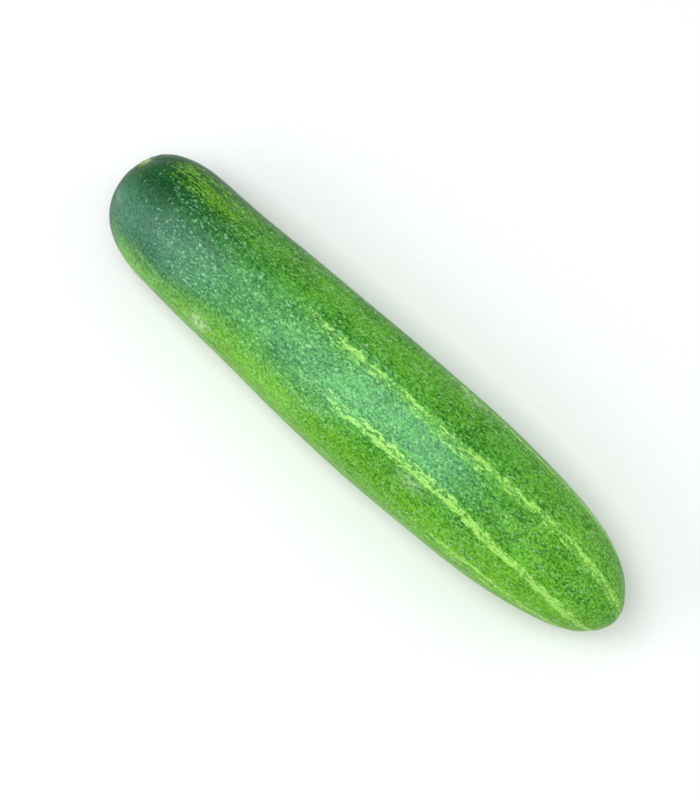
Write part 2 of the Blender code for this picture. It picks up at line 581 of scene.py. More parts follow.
class Limit(NamedTuple):
    """What a layer keeps along one measure of the skin, as a ramp."""

    measure: Measure
    ramp: Ramp


Limits = tuple[Limit, ...]


@dataclass(frozen=True)
class Texture:
    """What several layers of the skin follow: its grain, its lines of growth and how far it is ripe."""

    along_scale: float = 0.75
    grain: Pattern = (0.70, 4.7)
    lines: Pattern = (16.0, 0.8, 0.45)
    ripens: Ramp = (14.0, 78.0)


class SkinSheet(FinishSheet):
    """The skin's sheet, which knows where on the skin a point is and what the layers share."""

    def __init__(self, name: str, effects: Effects, texture: Texture) -> None:
        """Starts the material, and reads the skin's attributes.

        Args:
            name: The material's name.
            effects: The shared effects.
            texture: What the layers share.
        """
        super().__init__(name, effects)
        self.place = self.millimetres(texture.along_scale)
        self.growth = self.attribute("growth", "Vector")
        self.spoke, self.side, self.up = self.separate(self.attribute("round", "Vector"))
        self.along = self.separate(self.growth)[0]
        self.grain = self.effect(Effect.MOTTLE, self.place, *texture.grain)
        self.lines = self.effect(Effect.STREAKS, self.growth, *texture.lines)
        self.ripe = self.fade(self.along, *texture.ripens)

    def keep(self, *parts: object) -> Socket:
        """Multiplies masks.

        Args:
            parts: Each mask, as a limit, a socket or a number.

        Returns:
            The product.
        """
        measures = {ALONG: self.along, SIDE: self.side, UP: self.up}
        masks = [
            self.fade(measures[part.measure], *part.ramp) if isinstance(part, Limit) else part
            for part in parts
        ]
        return self.product(*masks)

    def mottle(self, pattern: Pattern, vector: Socket | None = None, scale: Triple | None = None) -> Socket:
        """Places uneven patches, by the place on the skin if not by other coordinates."""
        vector = self.place if vector is None else vector
        return self.effect(Effect.MOTTLE, self.stretch(vector, scale) if scale else vector, *pattern)


@dataclass(frozen=True)
class Ground:
    """The green of the skin itself: its dark and its light at the stem end, the body and the blossom end."""

    stem: tuple[Colour, Colour] = ((0.004, 0.046, 0.009, 1), (0.014, 0.118, 0.026, 1))
    body: tuple[Colour, Colour] = ((0.009, 0.108, 0.004, 1), (0.108, 0.430, 0.036, 1))
    blossom: tuple[Colour, Colour] = ((0.026, 0.155, 0.008, 1), (0.160, 0.490, 0.034, 1))
    yellows: Ramp = (138.0, 172.0)
    grain_share: Ramp = (60.0, 122.0, 0.60, 0.77)
    line_share: float = 0.21
    clumps: Pattern = (1.7, 3.6)
    clump_share: Span = (-0.11, 0.11)
    clouds: Pattern = (9.0, 2.6)
    cloud_share: Span = (-0.14, 0.20)
    shade_middle: float = 0.44
    shade_reach: float = 0.20
    shade_limits: Limits = (Limit(ALONG, (128.0, 144.0)), Limit(ALONG, (176.0, 158.0, 0.0, 0.15)))

    def paint(self, sheet: SkinSheet) -> Socket:
        """Paints the green.

        Args:
            sheet: The skin's sheet.

        Returns:
            The colour.
        """
        light = sheet.product(sheet.grain, sheet.fade(sheet.along, *self.grain_share))
        light = sheet.math("ADD", light, sheet.product(sheet.lines, self.line_share))
        light = sheet.math("ADD", light, sheet.span(sheet.mottle(self.clumps), self.clump_share))
        light = sheet.math("ADD", light, sheet.span(sheet.mottle(self.clouds), self.cloud_share), clamp=True)
        shade = sheet.fade(sheet.off(sheet.side, self.shade_middle), self.shade_reach, 0.0)
        light = sheet.math("SUBTRACT", light, sheet.keep(shade, *self.shade_limits), clamp=True)
        stem, body, blossom = (sheet.mix(light, *pair) for pair in (self.stem, self.body, self.blossom))
        colour = sheet.mix(sheet.ripe, stem, body)
        return sheet.mix(sheet.fade(sheet.along, *self.yellows), colour, blossom)


@dataclass(frozen=True)
class Flanks:
    """The yellower flanks, the streaked patch beside the stem end, and the pale belly."""

    flank: Colour = (0.200, 0.500, 0.012, 1)
    belly: Colour = (0.330, 0.520, 0.130, 1)
    streaks: Pattern = (14.0, 1.3, 0.55)
    edge: Span = (-0.05, 0.05)
    near_widens: Ramp = (25.0, 62.0)
    near_from: Span = (-0.72, -0.42)
    near_full: Span = (-0.95, -0.92)
    near_limits: Limits = (Limit(ALONG, (3.0, 20.0)), Limit(ALONG, (70.0, 120.0, 0.95, 0.70)))
    far: Ramp = (0.20, 0.70)
    far_limits: Limits = (
        Limit(SIDE, (0.66, 0.92, 1.0, 0.35)), Limit(ALONG, (12.0, 45.0, 0.0, 0.36)),
        Limit(ALONG, (115.0, 160.0, 1.0, 0.4)),
    )
    patch_limits: Limits = (
        Limit(SIDE, (0.24, 0.60)), Limit(SIDE, (0.98, 0.74)),
        Limit(ALONG, (6.0, 17.0)), Limit(ALONG, (58.0, 27.0)),
    )
    patch_streaks: Span = (0.55, 0.95)
    patch_grains: Ramp = (0.92, 1.36)
    patch_strength: float = 0.76
    grains: Pattern = (0.68, 3.2)
    grain_scale: Triple = (0.46, 1, 1)
    broken: Ramp = (0.3, 1.5, 0.50, 1.05)
    grained: Span = (0.40, 1.0)
    belly_from: Ramp = (-0.15, -0.85)
    belly_limit: Limit = Limit(ALONG, (12.0, 45.0, 0.0, 0.75))
    belly_grained: Span = (0.55, 1.0)

    def paint(self, sheet: SkinSheet, colour: Socket) -> Socket:
        """Paints the flanks and the belly.

        Args:
            sheet: The skin's sheet.
            colour: The colour so far.

        Returns:
            The colour with flanks and belly.
        """
        streaks = sheet.effect(Effect.STREAKS, sheet.growth, *self.streaks)
        grains = sheet.mottle(self.grains, sheet.growth, self.grain_scale)
        edge = sheet.span(streaks, self.edge)
        side = sheet.math("ADD", sheet.side, edge)
        widened = sheet.fade(sheet.along, *self.near_widens)
        near = sheet.fade(side, sheet.span(widened, self.near_from), sheet.span(widened, self.near_full))
        near = sheet.keep(near, *self.near_limits)
        far = sheet.keep(sheet.fade(side, *self.far), *self.far_limits)
        patch = sheet.keep(*self.patch_limits, sheet.span(streaks, self.patch_streaks))
        patch = sheet.fade(sheet.math("ADD", patch, grains), *self.patch_grains)
        patch = sheet.product(patch, self.patch_strength)
        flanks = sheet.math("MAXIMUM", sheet.math("MAXIMUM", near, far), patch)
        broken = sheet.fade(sheet.math("ADD", streaks, grains), *self.broken)
        flanks = sheet.product(flanks, broken, sheet.span(sheet.grain, self.grained))
        belly = sheet.fade(sheet.math("ADD", sheet.up, edge), *self.belly_from)
        belly = sheet.keep(belly, self.belly_limit, sheet.span(sheet.grain, self.belly_grained))
        return sheet.mix(belly, sheet.mix(flanks, colour, self.flank), self.belly)


@dataclass(frozen=True)
class Specks:
    """Pale specks, which are few at the stem end and crowd together past the neck.

    A kind of speck is its spacing, and its radius in spacings.
    """

    stem: Colour = (0.250, 0.600, 0.320, 1)
    body: Colour = (0.325, 0.640, 0.275, 1)
    sooner: Ramp = (-0.55, 0.35, 0.0, 12.0)
    crowding: Ramp = (6.0, 52.0, 0.02, 0.78)
    rows: Pattern = (3.2, 4.0)
    row_scale: Triple = (0.16, 1, 1)
    row_crowding: Span = (0.55, 1.35)
    coarse: Pattern = (1.15, 0.44)
    fine: Pattern = (0.72, 0.48)
    fine_shift: Triple = (7.0, 3.0, 5.0)
    fine_strength: float = 0.8
    dashes: Pattern = (1.35, 0.30)
    dash_scale: Triple = (0.30, 1, 1)
    dash_crowding: Ramp = (20.0, 44.0, 0.0, 0.26)
    dash_limit: Limit = Limit(ALONG, (130.0, 90.0))
    strength: Limits = (Limit(ALONG, (10.0, 60.0, 0.55, 0.74)), Limit(ALONG, (80.0, 130.0, 1.0, 0.85)))

    def paint(self, sheet: SkinSheet, colour: Socket) -> Socket:
        """Paints the specks.

        Args:
            sheet: The skin's sheet.
            colour: The colour so far.

        Returns:
            The colour with specks.
        """
        from_stem = sheet.math("ADD", sheet.along, sheet.fade(sheet.side, *self.sooner))
        rows = sheet.mottle(self.rows, sheet.growth, self.row_scale)
        density = sheet.product(sheet.fade(from_stem, *self.crowding), sheet.span(rows, self.row_crowding))
        few = sheet.keep(sheet.fade(from_stem, *self.dash_crowding), self.dash_limit)
        shifted = sheet.vector("ADD", sheet.place, self.fine_shift)
        lengthened = sheet.stretch(sheet.growth, self.dash_scale)
        coarse = sheet.effect(Effect.SPECKLE, sheet.place, *self.coarse, density)
        fine = sheet.effect(Effect.SPECKLE, shifted, *self.fine, density)
        dashes = sheet.effect(Effect.SPECKLE, lengthened, *self.dashes, few)
        specks = sheet.math("MAXIMUM", coarse, sheet.product(fine, self.fine_strength))
        specks = sheet.math("MAXIMUM", specks, dashes)
        pale = sheet.mix(sheet.ripe, self.stem, self.body)
        return sheet.mix(sheet.product(specks, sheet.keep(*self.strength)), colour, pale)


class Strand(NamedTuple):
    """A strand of a stripe: its place, of which 1 is the stripe's split, its strength and half its width."""

    place: float
    strength: float
    width: float


@dataclass(frozen=True)
class StripePaint:
    """Pale stripes: bands of crowded yellow-green grains over a faint wash."""

    stripes: tuple[Stripe, ...]
    belly_radius: float
    colour: Colour = (0.415, 0.785, 0.155, 1)
    strands: tuple[Strand, ...] = (Strand(0.0, 1.0, 1.65), Strand(1.0, 0.64, 1.15))
    sway: Pattern = (34.0, 12.0, 4.0)
    ragged: Pattern = (3.6, 1.8, 3.2)
    breaks: Pattern = (1.6, 4.0)
    break_scale: Triple = (0.35, 1, 1)
    broken: Span = (0.62, 1.45)
    grains: Pattern = (0.80, 3.2)
    grain_scale: Triple = (0.75, 1, 1)
    crowded: Ramp = (1.02, 1.36)
    sparkle: Pattern = (0.42, 4.0)
    sparkling: Span = (0.42, 1.0)
    wash: float = 0.20

    def paint(self, sheet: SkinSheet, colour: Socket) -> Socket:
        """Paints the stripes.

        Args:
            sheet: The skin's sheet.
            colour: The colour so far.

        Returns:
            The colour with stripes.
        """
        swayed = sheet.effect(Effect.WARP, sheet.growth, *self.sway)
        ragged = sheet.effect(Effect.WARP, swayed, *self.ragged)
        scale = sheet.math("DIVIDE", sheet.spoke, self.belly_radius / MM)
        crowding: object = 0.0
        for stripe in self.stripes:
            ends = (stripe.starts / MM, stripe.full_from / MM)
            for strand in self.strands:
                angle = stripe.angle + strand.place * stripe.split
                course = (math.cos(angle), math.sin(angle), stripe.drift, scale, strand.width)
                band = sheet.effect(Effect.STRIPE, ragged, *course, *ends, stripe.strength * strand.strength)
                crowding = sheet.math("MAXIMUM", crowding, band)
        breaks = sheet.mottle(self.breaks, sheet.growth, self.break_scale)
        crowding = sheet.product(crowding, sheet.span(breaks, self.broken))
        grains = sheet.mottle(self.grains, scale=self.grain_scale)
        clusters = sheet.fade(sheet.math("ADD", grains, crowding), *self.crowded)
        clusters = sheet.product(clusters, sheet.span(sheet.mottle(self.sparkle), self.sparkling))
        wash = sheet.product(crowding, self.wash)
        return sheet.mix(sheet.math("MAXIMUM", clusters, wash, clamp=True), colour, self.colour)


class Scuff(NamedTuple):
    """A pale rub or scratch: its middle along and round the fruit, its reach both ways, and its strength."""

    along: float
    angle: float
    reach: Span
    strength: float


@dataclass(frozen=True)
class Rubs:
    """The few pale rubs. The mesh carries how strongly each point is rubbed."""

    colour: Colour = (0.560, 0.700, 0.420, 1)
    uneven: Pattern = (1.0, 4.5)
    uneven_strength: Ramp = (0.2, 0.8, 0.15, 1.0)
    scuffs: tuple[Scuff, ...] = (
        Scuff(48.6, math.radians(155), (3.4, 3.0), 0.80),
        Scuff(26.0, math.radians(115), (4.0, 0.35), 0.30),
        Scuff(4.6, math.radians(128), (2.2, 1.1), 0.20),
        Scuff(126.0, math.radians(34), (5.0, 1.4), 0.55),
        Scuff(128.5, math.radians(127), (5.0, 2.2), 0.35),
    )

    def mask(self, sheet: SkinSheet) -> Socket:
        """Where the skin is rubbed, from 0 to 1."""
        uneven = sheet.fade(sheet.mottle(self.uneven), *self.uneven_strength)
        return sheet.math("MULTIPLY", sheet.attribute("scuffed"), uneven, clamp=True)


@dataclass(frozen=True)
class ScarRim:
    """The dull corky skin round both scars."""

    colour: Colour = (0.190, 0.250, 0.105, 1)
    ragged: Pattern = (1.6, 3.0)
    ragged_by: float = 1.4
    edge: Ramp = (4.6, 2.2)

    def mask(self, sheet: SkinSheet) -> Socket:
        """Where the skin is corky, from 0 to 1."""
        ragged = sheet.product(sheet.mottle(self.ragged), self.ragged_by)
        return sheet.fade(sheet.math("ADD", sheet.attribute("from_scar"), ragged), *self.edge)


@dataclass(frozen=True)
class PaintedSheen:
    """Painted sheen: the broad bluish highlight of the soft lights on the waxy top, painted into the colour.
    It is widest at the stem end and brightest at the middle.
    """

    none: Colour = (0, 0, 0, 1)
    stem: Colour = (0.108, 0.206, 0.182, 1)
    body: Colour = (0.050, 0.116, 0.102, 1)
    changes: Ramp = (15.0, 62.0)
    middle_at_stem: Ramp = (8.0, 58.0, -0.58, -0.32)
    middle_shifts: Ramp = (82.0, 112.0, 0.0, 0.19)
    reach: Ramp = (84.0, 118.0, 0.84, 0.48)
    limits: Limits = (
        Limit(UP, (-0.10, 0.20)), Limit(ALONG, (0.3, 5.0)),
        Limit(ALONG, (60.0, 116.0, 0.60, 1.28)), Limit(ALONG, (126.0, 152.0, 1.0, 0.0)),
    )
    patches: Pattern = (11.0, 2.4)
    patchy: Span = (0.75, 1.12)
    grained: Span = (0.78, 1.16)

    def paint(self, sheet: SkinSheet, colour: Socket) -> Socket:
        """Adds the painted sheen, a highlight painted as light, to the colour.

        Args:
            sheet: The skin's sheet.
            colour: The colour so far.

        Returns:
            The colour with its bloom.
        """
        middles = (sheet.fade(sheet.along, *ramp) for ramp in (self.middle_at_stem, self.middle_shifts))
        off = sheet.off(sheet.side, sheet.math("ADD", *middles))
        cover = sheet.keep(sheet.fade(off, sheet.fade(sheet.along, *self.reach), 0.0), *self.limits)
        patches = sheet.span(sheet.mottle(self.patches), self.patchy)
        cover = sheet.product(cover, patches, sheet.span(sheet.grain, self.grained))
        sheen = sheet.mix(sheet.fade(sheet.along, *self.changes), self.stem, self.body)
        # The painted highlight is added on top of the colour.
        return sheet.mix(1.0, colour, sheet.mix(cover, self.none, sheen), blend="ADD")


@dataclass(frozen=True)
class SkinFinish:
    """Green waxy skin, painted in layers. Colours are linear, and lengths are in millimetres."""

    stripes: StripePaint
    texture: Texture = Texture()
    ground: Ground = Ground()
    flanks: Flanks = Flanks()
    specks: Specks = Specks()
    rubs: Rubs = Rubs()
    scar_rim: ScarRim = ScarRim()
    # A painted sheen: the soft lights' highlight along the top, painted into the colour.
    painted_sheen: PaintedSheen = PaintedSheen()
    gloss: float = 0.12
    roughness: Span = (0.34, 0.46)
    rubbed_roughness: float = 0.15
    pores: Pattern = (1.5, 0.30, 0.5)
    pore_depth: float = 0.5
    grain_height: float = 0.5
    line_height: float = 0.35
    bump_strength: float = 0.4
    bump_depth: float = 0.06 * MM

    def material(self, effects: Effects) -> bpy.types.Material:
        """Builds the skin's material.

        Args:
            effects: The shared effects.

        Returns:
            The material.
        """
        sheet = SkinSheet("cucumber_skin", effects, self.texture)
        colour = self.ground.paint(sheet)
        for layer in (self.flanks, self.specks, self.stripes):
            colour = layer.paint(sheet, colour)
        rubbed = self.rubs.mask(sheet)
        colour = sheet.mix(rubbed, colour, self.rubs.colour)
        colour = sheet.mix(self.scar_rim.mask(sheet), colour, self.scar_rim.colour)
        roughness = sheet.span(sheet.grain, self.roughness)
        roughness = sheet.math("ADD", roughness, sheet.product(rubbed, self.rubbed_roughness))
        # The painted sheen, a highlight painted into the colour, goes on last.
        sheet.finish(self.painted_sheen.paint(sheet, colour), roughness)
        sheet.shader.inputs["Specular IOR Level"].default_value = self.gloss
        pores = sheet.product(sheet.effect(Effect.SPECKLE, sheet.place, *self.pores), self.pore_depth)
        height = sheet.math("SUBTRACT", sheet.product(sheet.grain, self.grain_height), pores)
        height = sheet.math("ADD", height, sheet.product(sheet.lines, self.line_height))
        sheet.bump(self.bump_strength, self.bump_depth, height)
        return sheet.material


# The other finishes


@dataclass(frozen=True)
class CorkFinish:
    """Dry, corky tissue where the fruit healed over."""

    name: str
    dark: Colour
    light: Colour
    grain: float
    contrast: float = 3.5
    pit_spacing: float = 0.8
    pit_size: float = 0.4
    pit_density: float = 0.5
    pit_shade: float = 0.6
    roughness: Span = (0.75, 0.9)
    bump_strength: float = 0.7
    bump_depth: float = 0.15 * MM

    def material(self, effects: Effects) -> bpy.types.Material:
        """Builds the cork's material.

        Args:
            effects: The shared effects.

        Returns:
            The material.
        """
        sheet = FinishSheet(self.name, effects)
        place = sheet.millimetres()
        patches = sheet.effect(Effect.MOTTLE, place, self.grain, self.contrast)
        spacing = self.grain * self.pit_spacing
        pits = sheet.effect(Effect.SPECKLE, place, spacing, self.pit_size, self.pit_density)
        colour = sheet.mix(patches, self.dark, self.light)
        colour = sheet.mix(sheet.product(pits, self.pit_shade), colour, self.dark)
        sheet.finish(colour, sheet.span(patches, self.roughness))
        sheet.bump(self.bump_strength, self.bump_depth, sheet.math("SUBTRACT", patches, pits))
        return sheet.material


@dataclass(frozen=True)
class FloorFinish:
    """Matt white sheet, with a barely visible tooth."""

    light: Colour = (0.90, 0.90, 0.895, 1)
    dark: Colour = (0.87, 0.87, 0.87, 1)
    tooth: Pattern = (2.5, 1.5)
    roughness: float = 0.9
    gloss: float = 0.2

    def material(self, effects: Effects) -> bpy.types.Material:
        """Builds the floor's material.

        Args:
            effects: The shared effects.

        Returns:
            The material.
        """
        sheet = FinishSheet("white_sheet", effects)
        tooth = sheet.effect(Effect.MOTTLE, sheet.millimetres(), *self.tooth)
        sheet.finish(sheet.mix(tooth, self.dark, self.light), self.roughness)
        sheet.shader.inputs["Specular IOR Level"].default_value = self.gloss
        return sheet.material


# The pieces


def add_object(
    name: str, shape: bmesh.types.BMesh, material: bpy.types.Material
) -> bpy.types.Object:
    """Puts a finished mesh into the scene.

    Args:
        name: The object's name.
        shape: The mesh, which is freed.
        material: Its finish.

    Returns:
        The object.
    """
    mesh = bpy.data.meshes.new(name)
    shape.to_mesh(mesh)
    shape.free()
    mesh.shade_smooth()
    mesh.materials.append(material)
    made = bpy.data.objects.new(name, mesh)
    bpy.context.scene.collection.objects.link(made)
    log.info("%s: %d faces", name, len(mesh.polygons))
    return made


@dataclass
class Skin:
    """The whole skin of the fruit, as one closed mesh of even squares.

    A furrow is its height, how many there are round the fruit, and its phase. The cork round the flower
    scar is narrower than the cork round the stem scar by less_blossom_cork.
    """

    form: FruitForm
    finish: SkinFinish
    coarse_across: int = 13
    coarse_rings: int = 95
    split: int = 4
    tip_spacing: float = 0.6
    spacing_grows_over: float = 0.030
    walk_steps: int = 6000
    furrows: tuple[tuple[float, int, float], ...] = (
        (0.030 * MM, 13, 0.4),
        (0.026 * MM, 19, 2.2),
        (0.020 * MM, 29, 4.1),
        (0.014 * MM, 43, 5.3),
    )
    furrow_sway: float = 1.3
    furrow_wave: float = 0.031
    wave_per_furrow: float = 0.002
    pebble_height: float = 0.045 * MM
    pebble_size: float = 4.2 * MM
    pucker_height: float = 0.16 * MM
    pucker_reach: float = 6.5 * MM
    pucker_rise: float = 0.4
    puckers: int = 11
    less_blossom_cork: float = 1.2 * MM
    tree: BVHTree = field(init=False)
    shift: np.ndarray = field(init=False)

    @property
    def across(self) -> int:
        """Squares across each end's patch, a quarter of those round the fruit."""
        return self.coarse_across * self.split

    @property
    def rings(self) -> int:
        """Rings of squares between the two end patches."""
        return self.coarse_rings * self.split

    def grid_box(self) -> bmesh.types.BMesh:
        """A box from -1 to 1, divided into squares on every side.

        Returns:
            The box.
        """
        box = bmesh.new()
        bmesh.ops.create_cube(box, size=2.0)
        longer_than = 1 / (2 * self.coarse_rings)
        for lengthwise, pieces in ((True, self.coarse_rings), (False, self.coarse_across)):
            reach = [abs(edge.verts[0].co.x - edge.verts[1].co.x) for edge in box.edges]
            edges = [edge for edge, long in zip(box.edges, reach) if (long > longer_than) == lengthwise]
            bmesh.ops.subdivide_edges(box, edges=edges, cuts=pieces - 1, use_grid_fill=True)
        bmesh.ops.subdivide_edges(box, edges=box.edges[:], cuts=self.split - 1, use_grid_fill=True)
        return box

    def stations(self, count: int) -> np.ndarray:
        """Distances from the stem end of the rings, which lie closer together over both ends.

        Args:
            count: How many gaps there are between rings.

        Returns:
            The distances, one more than the gaps.
        """
        form = self.form
        along = form.length * (1 - np.cos(np.pi * np.linspace(0, 1, self.walk_steps + 1))) / 2
        walked = np.hypot(np.diff(along), np.diff(form.radius(along)))
        from_tip = np.minimum(along, form.length - along)[1:]
        spacing = self.tip_spacing + (1 - self.tip_spacing) * ease(from_tip / self.spacing_grows_over)
        weight = np.concatenate([[0.0], np.cumsum(walked / spacing)])
        return np.interp(np.linspace(0, weight[-1], count + 1), weight, along)

    def places(self, box: bmesh.types.BMesh) -> tuple[np.ndarray, np.ndarray]:
        """The place on the skin of each point of the box.

        Args:
            box: The divided box.

        Returns:
            Distances from the stem end and angles round the fruit.
        """
        x, y, z = np.array([v.co[:] for v in box.verts]).T
        cap_rings = self.across // 2
        inwards = cap_rings * (1 - np.maximum(np.abs(y), np.abs(z)))
        ring = cap_rings + self.rings * (x + 1) / 2 + np.where(x > 0, inwards, -inwards)
        along = self.stations(self.rings + 2 * cap_rings)[np.rint(ring).astype(int)]
        wide = np.abs(y) >= np.abs(z)
        quarter = math.pi / 4
        with np.errstate(divide="ignore", invalid="ignore"):
            beside = quarter * z / y + np.where(y < 0, math.pi, 0.0)
            above = 2 * quarter - quarter * y / z + np.where(z < 0, math.pi, 0.0)
        return along, np.nan_to_num(np.where(wide, beside, above))

    def fine_relief(self, points: np.ndarray, bearing: np.ndarray, spoke: np.ndarray) -> np.ndarray:
        """Height of the furrows, the pebbling and the puckers round the stem scar.

        Args:
            points: The skin's points.
            bearing: Bearings round the line of growth.
            spoke: Distances from the line of growth.

        Returns:
            The height at each point.
        """
        form = self.form
        along = points[:, 0]
        fading = ease(spoke / form.rib_fades_within)
        height = np.zeros(len(points))
        for furrow_height, count, phase in self.furrows:
            wave = self.furrow_wave + self.wave_per_furrow * count
            drift = self.furrow_sway * np.sin(along / wave + phase)
            height += furrow_height * fading * np.sin(count * bearing + phase + drift)
        pebbles = [noise.noise(Vector(p) / self.pebble_size) for p in points]
        height += self.pebble_height * np.array(pebbles)
        near_line = np.exp(-((spoke / self.pucker_reach) ** 2))
        near_stem = np.where(along < form.stem_scar.veer_length, near_line, 0.0)
        rise = ease(spoke / (self.pucker_rise * self.pucker_reach))
        return height + self.pucker_height * near_stem * rise * np.cos(self.puckers * bearing)

    def press_scar(self, points: np.ndarray, scar: Scar) -> np.ndarray:
        """Presses one scar's relief into the skin.

        Args:
            points: The skin's points, which are moved.
            scar: The scar.

        Returns:
            How far each point is from the scar's middle.
        """
        middle, outwards = self.form.scar_place(scar)
        away = np.linalg.norm(points - middle, axis=1)
        for height, ring_radius, width in scar.rings:
            points += outwards * (height * np.exp(-(((away - ring_radius) / width) ** 2)))[:, None]
        return away

    def settle(self, points: np.ndarray) -> np.ndarray:
        """Flattens the belly where it bears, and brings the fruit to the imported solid's place.

        Args:
            points: The skin's points, which are moved.

        Returns:
            How far the fruit moved.
        """
        floor = points[:, 2].min() + self.form.flat_depth
        points[:, 2] = np.maximum(points[:, 2], floor)
        low, high = (np.array(corner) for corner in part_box("cucumber"))
        shift = (low + high) / 2 - (points.min(axis=0) + points.max(axis=0)) / 2
        shift[2] = low[2] - floor
        points += shift
        return shift

    def scuff_field(self, along: np.ndarray, angle: np.ndarray) -> np.ndarray:
        """How strongly each point of the skin is rubbed pale.

        Args:
            along: Distances from the stem end.
            angle: Angles round the fruit.

        Returns:
            The strength at each point.
        """
        total = np.zeros(len(along))
        for scuff in self.finish.rubs.scuffs:
            off = (angle - scuff.angle + math.pi) % math.tau - math.pi
            lengthwise = (along / MM - scuff.along) / scuff.reach[0]
            across = off * self.form.radius(along) / MM / scuff.reach[1]
            total += scuff.strength * np.exp(-(lengthwise**2) - across**2)
        return total

    def build(self, effects: Effects) -> bpy.types.Object:
        """Makes the skin, with the attributes that its finish reads.

        Args:
            effects: The shared effects.

        Returns:
            The skin's object.
        """
        form = self.form
        box = self.grid_box()
        along, angle = self.places(box)
        points = form.skin(along, angle)
        bearing, spoke = form.growth(along, angle)
        outward = np.stack([0 * along, np.cos(angle), np.sin(angle)], axis=-1)
        points += outward * self.fine_relief(points, bearing, spoke)[:, None]
        from_scar = np.minimum(
            self.press_scar(points, form.stem_scar),
            self.press_scar(points, form.blossom_scar) + self.less_blossom_cork,
        )
        self.shift = self.settle(points)
        for vertex, point in zip(box.verts, points):
            vertex.co = point
        bmesh.ops.recalc_face_normals(box, faces=box.faces)
        self.tree = BVHTree.FromBMesh(box)
        skin = add_object("skin", box, self.finish.material(effects))
        growth = np.stack([along / MM, np.cos(bearing), np.sin(bearing)], axis=-1)
        growth[:, 1:] *= form.belly_radius / MM
        round_place = np.stack([spoke / MM, np.cos(angle), np.sin(angle)], axis=-1)
        for name, kind, values in (
            ("growth", "FLOAT_VECTOR", growth),
            ("round", "FLOAT_VECTOR", round_place),
            ("scuffed", "FLOAT", self.scuff_field(along, angle)),
            ("from_scar", "FLOAT", from_scar / MM),
        ):
            layer = skin.data.attributes.new(name, kind, "POINT")
            layer.data.foreach_set("vector" if kind == "FLOAT_VECTOR" else "value", values.ravel())
        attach(skin, BODY)
        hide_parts("cucumber")
        return skin


@dataclass
class ScarPlug:
    """The crust in a scar: a thin lens that lies on the skin."""

    name: str
    scar: Scar
    finish: CorkFinish
    thickness: float
    rim_height: float
    dimple_depth: float
    spokes: int
    plug_radius: float = 1.9 * MM
    around: int = 64
    through: int = 28
    sunk: float = 0.25 * MM
    rim_at: float = 0.72
    rim_width: float = 0.16
    dimple_width: float = 0.26
    spoke_share: float = 0.75
    spoke_twist: float = 2.0
    ragged: float = 0.10
    ragged_turn: float = 1.6
    lumps: float = 0.10
    lump_size: float = 0.7 * MM
    tucks_in_from: float = 0.93
    above: float = 10 * MM

    def profile(self, out: float, turn: float) -> float:
        """Height of the crust above the skin.

        Args:
            out: Distance from the middle, as a share of the crust's radius.
            turn: Angle round the scar.

        Returns:
            The height.
        """
        rim = self.rim_height * math.exp(-(((out - self.rim_at) / self.rim_width) ** 2))
        dimple = self.dimple_depth * math.exp(-((out / self.dimple_width) ** 2))
        spokes = math.cos(self.spokes * turn + self.spoke_twist * out) * out * (1 - out)
        spokes *= self.spoke_share * self.rim_height
        return self.thickness * (1 - out**4) + rim - dimple + spokes

    def build(self, skin: Skin, effects: Effects) -> bpy.types.Object:
        """Makes the crust on the skin.

        Args:
            skin: The finished skin.
            effects: The shared effects.

        Returns:
            The crust's object.
        """
        middle, outwards = (Vector(v) for v in skin.form.scar_place(self.scar))
        middle += Vector(skin.shift)
        sideways = outwards.orthogonal().normalized()
        upwards = outwards.cross(sideways)
        lens = bmesh.new()
        bmesh.ops.create_uvsphere(lens, u_segments=self.around, v_segments=self.through, radius=1.0)
        for vertex in lens.verts:
            out = min(math.hypot(vertex.co.x, vertex.co.y), 1.0)
            turn = math.atan2(vertex.co.y, vertex.co.x)
            heading = Vector((math.cos(turn), math.sin(turn), 0))
            edge_place = heading * self.ragged_turn + Vector((0, 0, self.spokes))
            flat = heading * self.plug_radius * (1 + self.ragged * noise.noise(edge_place)) * out
            start = middle + sideways * flat.x + upwards * flat.y
            hit = skin.tree.ray_cast(start + outwards * self.above, -outwards)[0]
            if vertex.co.z > 0:
                crust = self.lumps * noise.noise(flat / self.lump_size) * (1 - out**2)
                height = self.profile(out, turn) * math.sqrt(vertex.co.z) + self.thickness * crust
            else:
                height = -self.sunk
            edge = min(max((out - self.tucks_in_from) / (1 - self.tucks_in_from), 0.0), 1.0)
            vertex.co = hit + outwards * (height * (1 - edge) - self.sunk * edge)
        bmesh.ops.recalc_face_normals(lens, faces=lens.faces)
        if lens.calc_volume(signed=True) < 0:
            bmesh.ops.reverse_faces(lens, faces=lens.faces)
        plug = add_object(self.name, lens, self.finish.material(effects))
        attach(plug, BODY)
        return plug


# The studio


@dataclass(frozen=True)
class SoftBox:
    """One soft light, aimed at the fruit."""

    name: str
    place: Triple
    size: Span
    turn: float
    radiance: float
    colour: Triple

    def build(self, aim: Vector) -> None:
        """Makes the light.

        Args:
            aim: The point that it faces.
        """
        light = bpy.data.lights.new(self.name, "AREA")
        light.shape = "RECTANGLE"
        light.size, light.size_y = self.size
        light.energy = self.radiance * math.pi * self.size[0] * self.size[1]
        light.color = self.colour
        lamp = bpy.data.objects.new(self.name, light)
        facing = (Vector(self.place) - aim).to_track_quat("Z", "Y")
        lamp.location = self.place
        lamp.rotation_mode = "QUATERNION"
        lamp.rotation_quaternion = facing @ Quaternion((0, 0, 1), self.turn)
        lamp.visible_camera = False
        bpy.context.scene.collection.objects.link(lamp)


